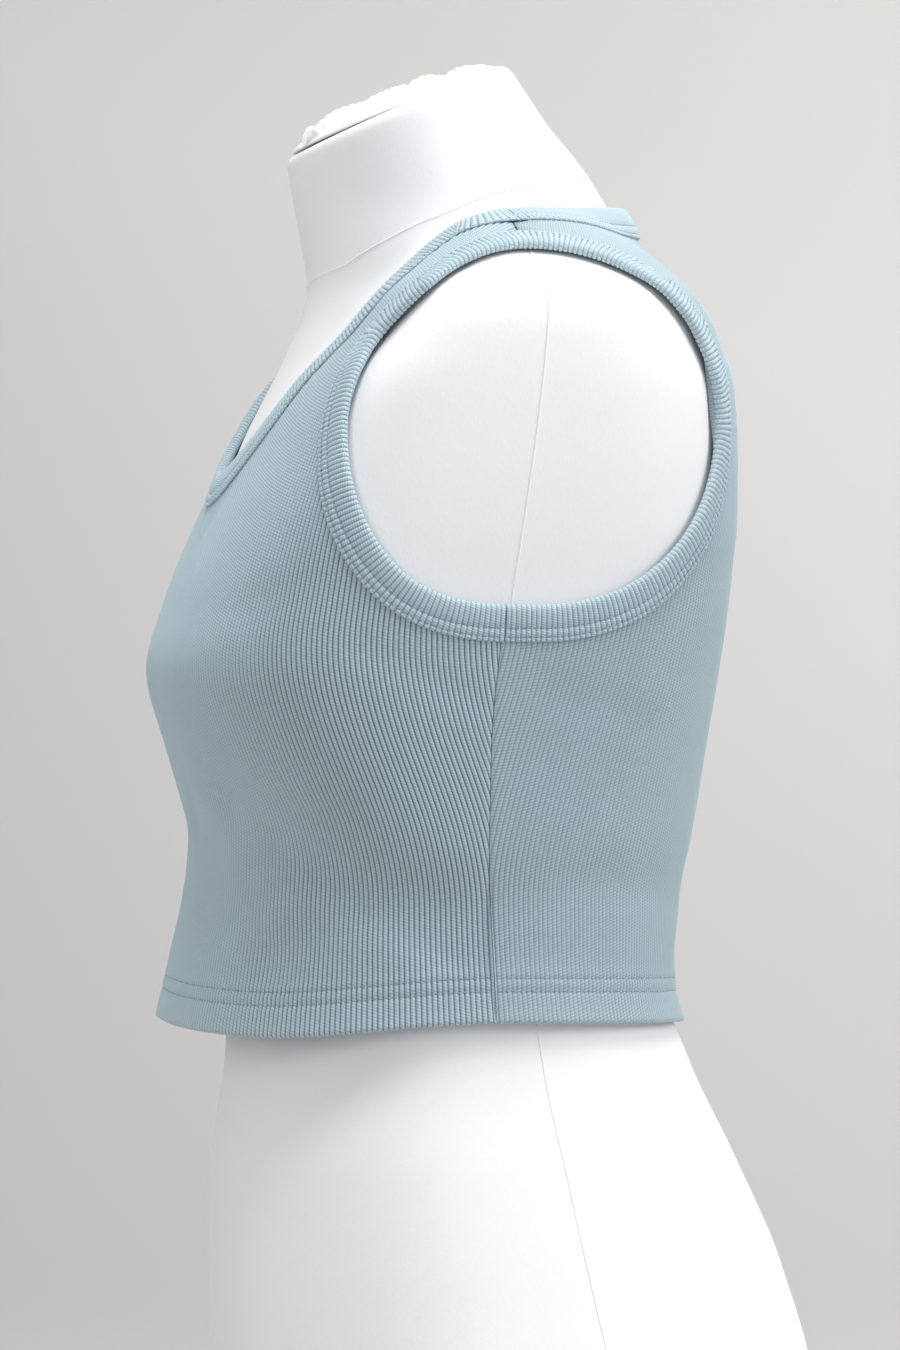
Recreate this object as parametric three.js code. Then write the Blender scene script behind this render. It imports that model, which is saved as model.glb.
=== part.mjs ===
// A sleeveless crop top of fine rib knit on the limbless dress form that wears it.
// Units are millimetres and +Z is up. The front faces -Y and the wearer's left is +X.
// The origin is on the flat underside of the form, where it stands.
import * as THREE from 'three';
import { mergeVertices } from 'three/addons/utils/BufferGeometryUtils.js';

// The cloth: its wall, the doubled hem, and the gaps at seams and between layers.
const WALL = 1.2;
const HEM_FOLD = 20;
const HEM_STEP = 0.6;
const SEAM_GAP = 0.3;
const LAYER_GAP = 0.3;

// The bindings: their wall and width, how far the panel's raw edge stays inside the fold, and how
// the cloth is lifted off the form towards the shoulders to make room for them.
const BINDING_WALL = 1.1;
const BINDING_WIDTH = 15;
const RAW_EDGE = 1.8;
const BINDING_LIFT = 2.4;
const LIFT_START = 480;
const LIFT_END = 570;

// The form: its neck top at the neck's axis, the slope of that top, and the flat arm plates, which
// fade into the round hips below the waist.
const FORM_TOP = 646;
const NECK_AXIS = -22;
const NECK_SLOPE = 0.41;
const NECK_BLEND = 12;
const PLATE_REACH = 155;
const PLATE_SHARPNESS = 14;
const PLATE_START = 230;
const PLATE_END = 300;
const HIP_REACH = 400;

// Radius that turns angles round the body into lengths, for the folds and for the seam gaps.
const FOLD_RADIUS = 125;
const SEAM_RADIUS = 140;

// How far the mesh rows under the armhole dip towards the centre, to stay below its curve.
const UNDERARM_DIP = 32;

// Steps of the numerical work: finite differences, walks over the cloth, bisections.
const ANGLE_STEP = 0.002;
const HEIGHT_STEP = 0.25;
const WALK_STEPS = 6;
const CURVE_STEPS = 240;
const BISECTIONS = 40;
const MERGE_DISTANCE = 1e-4;
const LEVEL_TILT = 0.37;

// Names the columns of a table of numbers.
function table(columns, rows) {
  return rows.map((row) => Object.fromEntries(columns.map((name, i) => [name, row[i]])));
}

// Horizontal sections of the form. Each row gives, at its height, the half width of the trunk, how
// far the trunk reaches forward and back from the origin, the place of the side line, the squareness
// of the front and back, and the same three reaches of the neck that rises out of the trunk.
const FORM_SECTIONS = table(
  ['z', 'half', 'front', 'back', 'side', 'frontPower', 'backPower', 'neckHalf', 'neckFront', 'neckBack'],
  [
    [0, 168, 84, 132, 10, 2.3, 2.3, 20, 20, 20],
    [60, 175, 91, 152, 10, 2.3, 2.3, 20, 20, 20],
    [115, 172, 97, 148.5, 8, 2.3, 2.3, 20, 20, 20],
    [165, 160, 99.5, 136, 5, 2.3, 2.2, 20, 20, 20],
    [210, 146, 98, 116.5, 2, 2.3, 2.2, 20, 20, 20],
    [250, 131, 93, 97.5, -1, 2.3, 2.2, 20, 20, 20],
    [283, 125, 92, 87, -3, 2.3, 2.2, 20, 20, 20],
    [318, 127, 93, 89, -5, 2.3, 2.2, 20, 20, 20],
    [345, 133, 100, 94, -6, 2.4, 2.25, 20, 20, 20],
    [380, 141, 112.5, 99.5, -6, 2.8, 2.3, 20, 20, 20],
    [412, 147, 120.5, 104, -4, 3.0, 2.4, 20, 20, 20],
    [440, 152, 113, 107, -1, 3.0, 2.5, 40, 60, 60],
    [470, 160, 101, 109.5, 3, 2.9, 2.5, 55, 80, 80],
    [500, 166, 86, 109, 7, 2.8, 2.5, 66, 82, 90],
    [525, 168, 71, 107, 10, 2.8, 2.5, 70, 75, 90],
    [545, 166, 53, 101, 12, 2.8, 2.4, 72, 68, 86],
    [560, 156, 41, 93, 13, 2.8, 2.4, 72, 62, 81],
    [572, 131, 30, 83, 13, 2.7, 2.4, 70, 60, 76],
    [582, 108, 20, 72, 12, 2.6, 2.4, 68, 61, 76],
    [592, 82, 10, 54, 11, 2.5, 2.4, 65, 63, 74],
    [602, 54, 0, 38, 8, 2.4, 2.4, 62, 65, 68],
    [620, 20, 15, 10, -5, 2.3, 2.3, 58, 68, 57],
    [645, 20, 25, 0, -17, 2.3, 2.3, 55.5, 72, 37],
    [672, 20, 30, -10, -27, 2.3, 2.3, 54, 76, 23],
  ],
);

// How far the outer face of the cloth stands off the form, by height.
const CLOTH_EASE = table(['z', 'front', 'side', 'back'], [
  [255, 31, 8, 4.4],
  [283, 26.5, 7, 4.3],
  [318, 18, 7, 4.2],
  [345, 10, 6.2, 4.1],
  [380, 4.6, 4.3, 4],
  [412, 4, 4, 4],
  [612, 4, 4, 4],
]);

// Height of the folded neck edge, by the angle round the body from the front centre.
const NECKLINE = table(['angle', 'z'], [
  [0, 493],
  [9, 495.5],
  [18, 502.5],
  [27, 513],
  [36, 527],
  [46, 546],
  [55, 565],
  [65, 582],
  [76, 593],
  [90, 598],
  [110, 600],
  [140, 603],
  [180, 605],
]);

// Radius of the folded armhole edge seen from the side, by the angle from straight up towards the
// front.
const ARMHOLE_CENTRE = { y: 13, z: 509 };
const ARMHOLE = table(['angle', 'radius'], [
  [0, 72],
  [45, 69],
  [90, 76],
  [135, 81],
  [180, 72],
  [225, 74],
  [270, 75.5],
  [315, 74],
  [360, 72],
]);

// Height of the hem, by the angle round the body from the front centre.
const HEM = table(['angle', 'z'], [
  [0, 266],
  [45, 265],
  [90, 272],
  [140, 268],
  [180, 264],
]);

// The soft troughs of the cloth under the bust, alike on both sides: from one angle and height to
// another, with the depth and half width of the trough.
const FOLDS = table(['fromAngle', 'fromZ', 'toAngle', 'toZ', 'depth', 'width'], [
  [38, 357, 80, 317, 3.6, 15],
  [50, 296, 64, 314, 2, 12],
  [12, 350, 26, 338, 1.6, 14],
]);

const rad = THREE.MathUtils.degToRad;

// Smooth curve through one column of a table, with slopes that never overshoot its rows.
function columnCurve(rows, key, name) {
  const slopes = rows.map((row, i) => {
    if (i === 0 || i === rows.length - 1) {
      return 0;
    }
    const before = (row[name] - rows[i - 1][name]) / (row[key] - rows[i - 1][key]);
    const after = (rows[i + 1][name] - row[name]) / (rows[i + 1][key] - row[key]);
    return before * after > 0 ? (2 * before * after) / (before + after) : 0;
  });
  return (at) => {
    const last = rows.length - 1;
    const clamped = THREE.MathUtils.clamp(at, rows[0][key], rows[last][key]);
    let i = 0;
    while (i < last - 1 && clamped > rows[i + 1][key]) {
      i += 1;
    }
    const span = rows[i + 1][key] - rows[i][key];
    const t = (clamped - rows[i][key]) / span;
    const rise = rows[i + 1][name] - rows[i][name];
    const a = slopes[i] * span - rise;
    const b = rise - slopes[i + 1] * span;
    return rows[i][name] + t * rise + t * (1 - t) * ((1 - t) * a + t * b);
  };
}

function tableCurves(rows, key) {
  const curves = {};
  for (const name of Object.keys(rows[0])) {
    if (name !== key) {
      curves[name] = columnCurve(rows, key, name);
    }
  }
  return curves;
}

const formAt = tableCurves(FORM_SECTIONS, 'z');
const easeAt = tableCurves(CLOTH_EASE, 'z');
const necklineAt = tableCurves(NECKLINE, 'angle').z;
const armholeAt = tableCurves(ARMHOLE, 'angle').radius;
const hemAt = tableCurves(HEM, 'angle').z;

function superRadius(sine, cosine, half, depth, power) {
  const sum = Math.abs(sine / half) ** power + Math.abs(cosine / depth) ** power;
  return sum ** (-1 / power);
}

// How far the folds pull the cloth in at an angle from the front centre and a height.
function foldDepth(angle, z) {
  const across = Math.abs(Math.atan2(Math.sin(angle), Math.cos(angle))) * FOLD_RADIUS;
  let depth = 0;
  for (const fold of FOLDS) {
    const startAcross = rad(fold.fromAngle) * FOLD_RADIUS;
    const runAcross = rad(fold.toAngle) * FOLD_RADIUS - startAcross;
    const runUp = fold.toZ - fold.fromZ;
    const reach = (across - startAcross) * runAcross + (z - fold.fromZ) * runUp;
    const share = THREE.MathUtils.clamp(reach / (runAcross ** 2 + runUp ** 2), 0, 1);
    const offAcross = across - startAcross - share * runAcross;
    const offUp = z - fold.fromZ - share * runUp;
    depth += fold.depth * Math.exp(-(offAcross ** 2 + offUp ** 2) / fold.width ** 2);
  }
  return depth;
}

// A point of the form, or of the cloth's outer face over it, at an angle from the front centre.
function surfacePoint(angle, z, isCloth) {
  const lift = isCloth ? BINDING_LIFT * THREE.MathUtils.smoothstep(z, LIFT_START, LIFT_END) : 0;
  const at = z - lift;
  const ease = (name) => (isCloth ? easeAt[name](z) : 0);
  const sine = Math.sin(angle);
  const cosine = Math.cos(angle);
  const side = formAt.side(at);
  const isFront = cosine > 0;
  const reach = isFront
    ? Math.max(formAt.front(at) + side, 1) + ease('front')
    : Math.max(formAt.back(at) - side, 1) + ease('back');
  const neckReach = isFront
    ? formAt.neckFront(at) + side + ease('front')
    : formAt.neckBack(at) - side + ease('back');
  const power = isFront ? formAt.frontPower(at) : formAt.backPower(at);
  const half = formAt.half(at) + ease('side');
  const trunk = superRadius(sine, cosine, half, reach, power);
  const neckHalf = formAt.neckHalf(at) + ease('side');
  const neck = superRadius(sine, cosine, neckHalf, Math.max(neckReach, 1), 2);
  const fold = isCloth ? foldDepth(angle, z) : 0;
  const radius = (trunk ** NECK_BLEND + neck ** NECK_BLEND) ** (1 / NECK_BLEND) - fold;
  const hip = HIP_REACH * (1 - THREE.MathUtils.smoothstep(z, PLATE_START, PLATE_END));
  const plate = PLATE_REACH + ease('side') + hip;
  const across = radius * sine;
  const excess = 1 + Math.abs(across / plate) ** PLATE_SHARPNESS;
  return new THREE.Vector3(across * excess ** (-1 / PLATE_SHARPNESS), side - radius * cosine, z);
}

const clothPoint = (angle, z) => surfacePoint(angle, z, true);
const formPoint = (angle, z) => surfacePoint(angle, z, false);

// Directions along the cloth, round the body and up it, and its outward normal.
function clothFrame(angle, z) {
  const round = clothPoint(angle + ANGLE_STEP, z).sub(clothPoint(angle - ANGLE_STEP, z));
  const up = clothPoint(angle, z + HEIGHT_STEP).sub(clothPoint(angle, z - HEIGHT_STEP));
  round.divideScalar(2 * ANGLE_STEP);
  up.divideScalar(2 * HEIGHT_STEP);
  return { round, up, normal: round.clone().cross(up).normalize() };
}

// Walks a distance over the cloth from a place, holding to one heading in space.
function walk(place, heading, distance) {
  const step = distance / WALK_STEPS;
  let { angle, z } = place;
  for (let i = 0; i < WALK_STEPS; i += 1) {
    const { round, up } = clothFrame(angle, z);
    const roundRound = round.dot(round);
    const roundUp = round.dot(up);
    const upUp = up.dot(up);
    const headingRound = heading.dot(round);
    const headingUp = heading.dot(up);
    const scale = roundRound * upUp - roundUp * roundUp;
    const alongRound = (headingRound * upUp - headingUp * roundUp) / scale;
    const alongUp = (headingUp * roundRound - headingRound * roundUp) / scale;
    const pace = round.clone().multiplyScalar(alongRound).addScaledVector(up, alongUp).length();
    angle += (alongRound / pace) * step;
    z += (alongUp / pace) * step;
  }
  return { angle, z };
}

// Walks down a seam, where the angle stays and only the height changes.
function walkSeam(place, distance) {
  const step = distance / WALK_STEPS;
  let { z } = place;
  for (let i = 0; i < WALK_STEPS; i += 1) {
    z -= step / clothFrame(place.angle, z).up.length();
  }
  return { angle: place.angle, z };
}

const pointOf = (place) => clothPoint(place.angle, place.z);

// Evenly spaced places on an edge curve from start to end.
function evenPlaces(curve, start, end, count) {
  const lengths = [0];
  let previous = pointOf(curve(start));
  for (let i = 1; i <= CURVE_STEPS; i += 1) {
    const next = pointOf(curve(start + ((end - start) * i) / CURVE_STEPS));
    lengths.push(lengths[i - 1] + next.distanceTo(previous));
    previous = next;
  }
  const places = [];
  let j = 0;
  for (let i = 0; i <= count; i += 1) {
    const goal = (lengths[CURVE_STEPS] * i) / count;
    while (j < CURVE_STEPS - 1 && lengths[j + 1] < goal) {
      j += 1;
    }
    const part = (goal - lengths[j]) / (lengths[j + 1] - lengths[j]);
    places.push(start + ((end - start) * (j + part)) / CURVE_STEPS);
  }
  return places;
}

// The angle round the body of the cloth's point at a depth and height on the left half.
function angleAtDepth(y, z) {
  let low = 0;
  let high = Math.PI;
  for (let i = 0; i < BISECTIONS; i += 1) {
    const middle = (low + high) / 2;
    if (clothPoint(middle, z).y < y) {
      low = middle;
    } else {
      high = middle;
    }
  }
  return (low + high) / 2;
}

const neckCurve = (angle) => ({ angle, z: necklineAt(THREE.MathUtils.radToDeg(angle)) });

function armholeCurve(turn) {
  const radius = armholeAt(THREE.MathUtils.radToDeg(turn));
  const y = ARMHOLE_CENTRE.y - radius * Math.sin(turn);
  const z = ARMHOLE_CENTRE.z + radius * Math.cos(turn);
  return { angle: angleAtDepth(y, z), z };
}

// The turn of the armhole curve that lies on the side seam or on the shoulder seam.
function seamTurn(low, high) {
  const isPast = (turn) => armholeCurve(turn).angle > Math.PI / 2;
  const startsPast = isPast(low);
  for (let i = 0; i < BISECTIONS; i += 1) {
    const middle = (low + high) / 2;
    if (isPast(middle) === startsPast) {
      low = middle;
    } else {
      high = middle;
    }
  }
  return (low + high) / 2;
}

const UNDERARM_TURN = seamTurn(rad(140), rad(220));
const SHOULDER_TURN = seamTurn(rad(-20), rad(20));

// The three lines that a binding covers, from the panel's raw edge to the binding's outer edge.
const BAND = [RAW_EDGE, (RAW_EDGE + BINDING_WIDTH) / 2, BINDING_WIDTH];

// Places on the cloth at each distance from an edge, square to it and away from its opening.
function bandPlaces(curve, at, distances, awayFrom) {
  const place = curve(at);
  const { normal } = clothFrame(place.angle, place.z);
  const ahead = pointOf(curve(at + 2 * ANGLE_STEP));
  const tangent = ahead.sub(pointOf(curve(at - 2 * ANGLE_STEP)));
  const heading = normal.clone().cross(tangent).normalize();
  const outward = pointOf(place).sub(awayFrom);
  if (heading.dot(outward) < 0) {
    heading.negate();
  }
  return distances.map((distance) => walk(place, heading, distance));
}

// Points in the middle of the openings, which the bands lead away from.
const NECK_CENTRE = new THREE.Vector3(0, 0, 620);
const ARM_CENTRE = new THREE.Vector3(150, ARMHOLE_CENTRE.y, ARMHOLE_CENTRE.z);

// Numbers the pairs of points, with one number for pairs whose outer points are the same.
function mergePairs(pairs) {
  const found = new Map();
  const numbers = pairs.map((pair) => {
    const key = pair.outer.toArray().map((value) => Math.round(value / MERGE_DISTANCE)).join();
    if (!found.has(key)) {
      found.set(key, { number: found.size, pair });
    }
    return found.get(key).number;
  });
  return { numbers, points: [...found.values()].map((entry) => entry.pair) };
}

// A mesh geometry from point coordinates and the corners of its triangles.
function meshGeometry(positions, triangles) {
  const geometry = new THREE.BufferGeometry();
  geometry.setAttribute('position', new THREE.Float32BufferAttribute(positions, 3));
  geometry.setIndex(triangles);
  return geometry;
}

// Makes one closed body from pairs of outer and inner points and the faces between them.
function thicken(pairs, quads) {
  const { numbers, points } = mergePairs(pairs);
  const count = points.length;
  const triangles = [];
  const edges = new Map();
  const addTriangle = (a, b, c) => {
    triangles.push(a, b, c);
    triangles.push(a + count, c + count, b + count);
    for (const [from, to] of [[a, b], [b, c], [c, a]]) {
      const back = `${to},${from}`;
      if (edges.has(back)) {
        edges.delete(back);
      } else {
        edges.set(`${from},${to}`, [from, to]);
      }
    }
  };
  for (const quad of quads) {
    const [a, b, c, d] = quad.map((i) => numbers[i]);
    // Layers that lie on each other are split along the same diagonal, from the lowest corner.
    const level = (i) => points[i].outer.z + LEVEL_TILT * points[i].outer.y;
    if (Math.min(level(a), level(c)) < Math.min(level(b), level(d))) {
      addTriangle(a, b, c);
      addTriangle(a, c, d);
    } else {
      addTriangle(a, b, d);
      addTriangle(b, c, d);
    }
  }
  for (const [from, to] of edges.values()) {
    triangles.push(to, from, from + count, to, from + count, to + count);
  }
  const positions = [];
  points.forEach(({ outer }) => positions.push(outer.x, outer.y, outer.z));
  points.forEach(({ inner }) => positions.push(inner.x, inner.y, inner.z));
  return meshGeometry(positions, triangles);
}

const placeBetween = (from, to, share) => ({
  angle: THREE.MathUtils.lerp(from.angle, to.angle, share),
  z: THREE.MathUtils.lerp(from.z, to.z, share),
});

// Columns of a half panel: the band of the neck edge, the cloth between, the band of the armhole.
const MIDDLE_COUNT = 10;
const BODY_COUNT = 10;
const ROW_LENGTH = BAND.length * 2 + MIDDLE_COUNT - 1;

// A row of a half panel with only the places of the cloth between its bands.
function middleRow(placeAt) {
  const places = new Array(ROW_LENGTH).fill(null);
  for (let i = 0; i <= MIDDLE_COUNT; i += 1) {
    places[BAND.length - 1 + i] = placeAt(i / MIDDLE_COUNT);
  }
  return places;
}

// Puts the places of a neck band or an armhole band at the ends of a row.
function putNeckBand(places, band) {
  [places[0], places[1]] = band;
}

function putArmBand(places, band) {
  [places[ROW_LENGTH - 1], places[ROW_LENGTH - 2]] = band;
}

// The places under the neck binding, from the centre line to the shoulder seam.
function neckBandPlaces({ centreAngle, seamAngle }, turns) {
  return turns.map((turn, i) => {
    if (i === turns.length - 1) {
      const seamPlace = { angle: seamAngle, z: neckCurve(Math.PI / 2).z };
      return BAND.map((distance) => walkSeam(seamPlace, distance));
    }
    const places = bandPlaces(neckCurve, turn, BAND, NECK_CENTRE);
    return i === 0 ? places.map(({ z }) => ({ angle: centreAngle, z })) : places;
  });
}

// The places under the armhole binding, from the side seam to the shoulder seam.
function armBandPlaces({ seamAngle }, turns) {
  return turns.map((turn, i) => {
    const isFoot = i === 0;
    if (isFoot || i === turns.length - 1) {
      const seamPlace = { angle: seamAngle, z: armholeCurve(turn).z };
      return BAND.map((distance) => walkSeam(seamPlace, isFoot ? distance : -distance));
    }
    return bandPlaces(armholeCurve, turn, BAND, ARM_CENTRE);
  });
}

// One half of a panel as rows of places. Its inner line is the centre line and then the neck edge,
// and its outer line is the side seam and then the armhole.
function halfPanel(options) {
  const { centreAngle, seamAngle, neckStart, armStart, armEnd, centreCount, neckCount } = options;
  const neckTurns = evenPlaces(neckCurve, neckStart, Math.PI / 2, neckCount);
  const armTurns = evenPlaces(armholeCurve, armStart, armEnd, centreCount + neckCount);
  const neckBands = neckBandPlaces(options, neckTurns);
  const armBands = armBandPlaces(options, armTurns);
  const innermost = BAND.length - 1;

  // The fold of the hem and the step to the single wall above it.
  const rows = [0, HEM_FOLD / 2, HEM_FOLD, HEM_FOLD + HEM_STEP].map((rise) => middleRow((share) => {
    const angle = THREE.MathUtils.lerp(centreAngle, seamAngle, share);
    const z = hemAt(THREE.MathUtils.radToDeg(angle)) + rise;
    return { angle, z, isDouble: rise <= HEM_FOLD };
  }));

  // The body, up to a row that ends at the foot of the armhole.
  const wallFoot = rows[rows.length - 1];
  const armFoot = armBands[0][innermost];
  const centreTop = { angle: centreAngle, z: armFoot.z - UNDERARM_DIP };
  for (let j = 1; j <= BODY_COUNT; j += 1) {
    rows.push(middleRow((share) => {
      const foot = wallFoot[innermost + Math.round(share * MIDDLE_COUNT)];
      const top = placeBetween(centreTop, armFoot, share);
      return { angle: top.angle, z: THREE.MathUtils.lerp(foot.z, top.z, j / BODY_COUNT) };
    }));
  }
  putArmBand(rows[rows.length - 1], armBands[0]);

  // The chest, between the centre line and the armhole, and then between the neck and the armhole.
  armBands.slice(1).forEach((armBand, i) => {
    const rise = i + 1;
    const neckBand = neckBands[Math.max(rise - centreCount, 0)];
    const inner = placeBetween(centreTop, neckBand[innermost], Math.min(rise / centreCount, 1));
    const row = middleRow((share) => placeBetween(inner, armBand[innermost], share));
    putArmBand(row, armBand);
    if (rise >= centreCount) {
      putNeckBand(row, neckBand);
    }
    rows.push(row);
  });
  return { rows, neckTurns, armTurns };
}

// The outer and inner point of the wall at a place.
function wallPair(place) {
  const outer = pointOf(place);
  const { normal } = clothFrame(place.angle, place.z);
  const wall = place.isDouble ? 2 * WALL : WALL;
  return { outer, inner: outer.clone().addScaledVector(normal, -wall) };
}

const mirrored = (point) => new THREE.Vector3(-point.x, point.y, point.z);
const mirrorPair = (pair) => ({ outer: mirrored(pair.outer), inner: mirrored(pair.inner) });

// A whole panel from one half and its mirror image.
function panelGeometry(half, isBack) {
  const pairs = [];
  const quads = [];
  for (const isMirror of [false, true]) {
    const indexes = half.rows.map((places) => places.map((place) => {
      if (place === null) {
        return -1;
      }
      const pair = wallPair(place);
      pairs.push(isMirror ? mirrorPair(pair) : pair);
      return pairs.length - 1;
    }));
    for (let j = 0; j + 1 < indexes.length; j += 1) {
      for (let i = 0; i + 1 < indexes[j].length; i += 1) {
        const [low, high] = [indexes[j], indexes[j + 1]];
        const quad = [low[i], low[i + 1], high[i + 1], high[i]];
        if (quad.every((index) => index >= 0)) {
          quads.push(isMirror === isBack ? quad : quad.reverse());
        }
      }
    }
  }
  return thicken(pairs, quads);
}

// Half of the seam gap, as an angle round the body.
const halfGap = SEAM_GAP / 2 / SEAM_RADIUS;
const frontHalf = halfPanel({
  centreAngle: 0,
  seamAngle: Math.PI / 2 - halfGap,
  neckStart: 0,
  armStart: UNDERARM_TURN,
  armEnd: SHOULDER_TURN,
  centreCount: 4,
  neckCount: 13,
});
const backHalf = halfPanel({
  centreAngle: Math.PI,
  seamAngle: Math.PI / 2 + halfGap,
  neckStart: Math.PI,
  armStart: UNDERARM_TURN,
  armEnd: SHOULDER_TURN + 2 * Math.PI,
  centreCount: 8,
  neckCount: 9,
});

// The folded section of a binding: distance from the fold and height over the panel's outer face,
// on its outside and on its inside. The fold itself is two corners round the raw edge.
const OVER = LAYER_GAP + BINDING_WALL;
const UNDER = -WALL - OVER;
const FOLD_OUTSIDE = 0.3;
const FOLD_INSIDE = 1.1;
const FOLD_ROUNDING = 0.8;
const BINDING_SECTION = [
  ...BAND.toReversed().map((distance) => ({
    outside: [distance, OVER],
    inside: [distance, LAYER_GAP],
  })),
  { outside: [FOLD_OUTSIDE, OVER - FOLD_ROUNDING], inside: [FOLD_INSIDE, 0] },
  { outside: [FOLD_OUTSIDE, UNDER + FOLD_ROUNDING], inside: [FOLD_INSIDE, -WALL] },
  ...BAND.map((distance) => ({
    outside: [distance, UNDER],
    inside: [distance, -WALL - LAYER_GAP],
  })),
];

// One station of a binding from the places that a walk square to the edge gives.
function bindingStation(placesAt) {
  const lift = (place, height) => {
    const { normal } = clothFrame(place.angle, place.z);
    return pointOf(place).addScaledVector(normal, height);
  };
  return BINDING_SECTION.map(({ outside, inside }) => ({
    outer: lift(placesAt(outside[0]), outside[1]),
    inner: lift(placesAt(inside[0]), inside[1]),
  }));
}

function bindingGeometry(stations) {
  const pairs = stations.flat();
  const width = BINDING_SECTION.length;
  const quads = [];
  for (let j = 0; j + 1 < stations.length; j += 1) {
    for (let i = 0; i + 1 < width; i += 1) {
      const corner = j * width + i;
      quads.push([corner, corner + 1, corner + width + 1, corner + width]);
    }
  }
  return thicken(pairs, quads);
}

const edgeStation = (curve, turn, awayFrom) => bindingStation(
  (distance) => bandPlaces(curve, turn, [distance], awayFrom)[0],
);
const seamStation = (place, direction) => bindingStation(
  (distance) => walkSeam(place, direction * distance),
);

// The neck binding runs from the left shoulder seam over the front, the right shoulder and the back.
function neckStations() {
  const shoulderZ = neckCurve(Math.PI / 2).z;
  const frontTurns = frontHalf.neckTurns.slice(0, -1);
  const backTurns = backHalf.neckTurns.slice(0, -1);
  const front = frontTurns.map((turn) => edgeStation(neckCurve, turn, NECK_CENTRE));
  const back = backTurns.map((turn) => edgeStation(neckCurve, turn, NECK_CENTRE));
  const flip = (station) => station.map(mirrorPair);
  return [
    seamStation({ angle: Math.PI / 2 - halfGap * 2, z: shoulderZ }, 1),
    ...front.slice(1).reverse(),
    ...front.map(flip),
    flip(seamStation({ angle: Math.PI / 2, z: shoulderZ }, 1)),
    ...back.slice(1).reverse().map(flip),
    ...back,
    seamStation({ angle: Math.PI / 2 + halfGap * 2, z: shoulderZ }, 1),
  ];
}

// An armhole binding runs from the side seam up the front, over the shoulder and down the back.
function armholeStations() {
  const underarmZ = armholeCurve(UNDERARM_TURN).z;
  const shoulderZ = armholeCurve(SHOULDER_TURN).z;
  const station = (turn) => edgeStation(armholeCurve, turn, ARM_CENTRE);
  return [
    seamStation({ angle: Math.PI / 2 - halfGap, z: underarmZ }, 1),
    ...frontHalf.armTurns.slice(1, -1).map(station),
    seamStation({ angle: Math.PI / 2, z: shoulderZ }, -1),
    ...backHalf.armTurns.slice(1, -1).reverse().map(station),
    seamStation({ angle: Math.PI / 2 + halfGap, z: underarmZ }, 1),
  ];
}

// The point of the neck's sloping top edge at an angle.
function neckTopPoint(angle) {
  let z = FORM_TOP;
  for (let i = 0; i < BISECTIONS; i += 1) {
    z = FORM_TOP + NECK_SLOPE * (formPoint(angle, z).y - NECK_AXIS);
  }
  return formPoint(angle, z);
}

// A closed body from rings of points, from the lowest ring up, and the middles of both ends.
function ringGeometry(rings, bottomPoint, topPoint) {
  const around = rings[0].length;
  const positions = [...rings.flat(), bottomPoint, topPoint].flatMap((point) => point.toArray());
  const triangles = [];
  const lastRing = (rings.length - 1) * around;
  const bottom = rings.length * around;
  for (let i = 0; i < around; i += 1) {
    const next = (i + 1) % around;
    for (let ring = 0; ring < lastRing; ring += around) {
      const [a, b, c, d] = [ring + i, ring + next, ring + around + next, ring + around + i];
      triangles.push(a, b, c, a, c, d);
    }
    triangles.push(bottom, next, i, bottom + 1, lastRing + i, lastRing + next);
  }
  return meshGeometry(positions, triangles);
}

// One value for each of a number of even angles round the body.
function roundBody(count, valueAt) {
  return Array.from({ length: count }, (unused, i) => valueAt((2 * Math.PI * i) / count));
}

// The form is one body from its flat underside to the sloping top of its neck.
const FORM_AROUND = 44;
const NECK_ROWS = 5;
const FORM_HEIGHTS = [
  0, 45, 90, 130, 165, 195, 220, 245, 270, 297, 322, 345, 367, 389, 408, 426, 444, 463, 484, 505,
  525, 542, 554, 563, 571, 578, 585, 591, 597, 603,
];

function formGeometry() {
  const rings = FORM_HEIGHTS.map((z) => roundBody(FORM_AROUND, (angle) => formPoint(angle, z)));
  const lastHeight = FORM_HEIGHTS[FORM_HEIGHTS.length - 1];
  for (let j = 1; j <= NECK_ROWS; j += 1) {
    rings.push(roundBody(FORM_AROUND, (angle) => {
      const topZ = neckTopPoint(angle).z;
      return formPoint(angle, THREE.MathUtils.lerp(lastHeight, topZ, j / NECK_ROWS));
    }));
  }
  const bottom = new THREE.Vector3(0, formAt.side(0), 0);
  return ringGeometry(rings, bottom, new THREE.Vector3(0, NECK_AXIS, FORM_TOP));
}

// The gathered jersey on top of the neck: a low lobed cushion with a flat underside.
const GATHER_AROUND = 40;
const GATHER_RINGS = 6;
const GATHER_CROWN = 8;
const GATHER_DIMPLE = 2;
const GATHER_LOBES = 9;
const GATHER_LOBE_HEIGHT = 2.2;
const GATHER_REACH = 0.97;
const GATHER_RIM = 0.8;

function gatherGeometry() {
  const up = new THREE.Vector3(0, -NECK_SLOPE, 1).normalize();
  const middle = new THREE.Vector3(0, NECK_AXIS, FORM_TOP);
  const place = (angle, share, height) => {
    const point = middle.clone().lerp(neckTopPoint(angle), share);
    return point.addScaledVector(up, height + SEAM_GAP);
  };
  const rings = [roundBody(GATHER_AROUND, (angle) => place(angle, GATHER_REACH, 0))];
  for (let j = GATHER_RINGS; j >= 1; j -= 1) {
    const out = j / GATHER_RINGS;
    const share = GATHER_REACH * out;
    const dome = GATHER_CROWN * Math.sqrt(1 - out ** 2);
    const fade = GATHER_LOBE_HEIGHT * share * (1 - out ** 4);
    rings.push(roundBody(GATHER_AROUND, (angle) => {
      const lobe = fade * Math.cos(GATHER_LOBES * angle + 2 * share);
      return place(angle, share, Math.max(dome + lobe, GATHER_RIM));
    }));
  }
  return ringGeometry(rings, place(0, 0, 0), place(0, 0, GATHER_CROWN - GATHER_DIMPLE));
}

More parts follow.
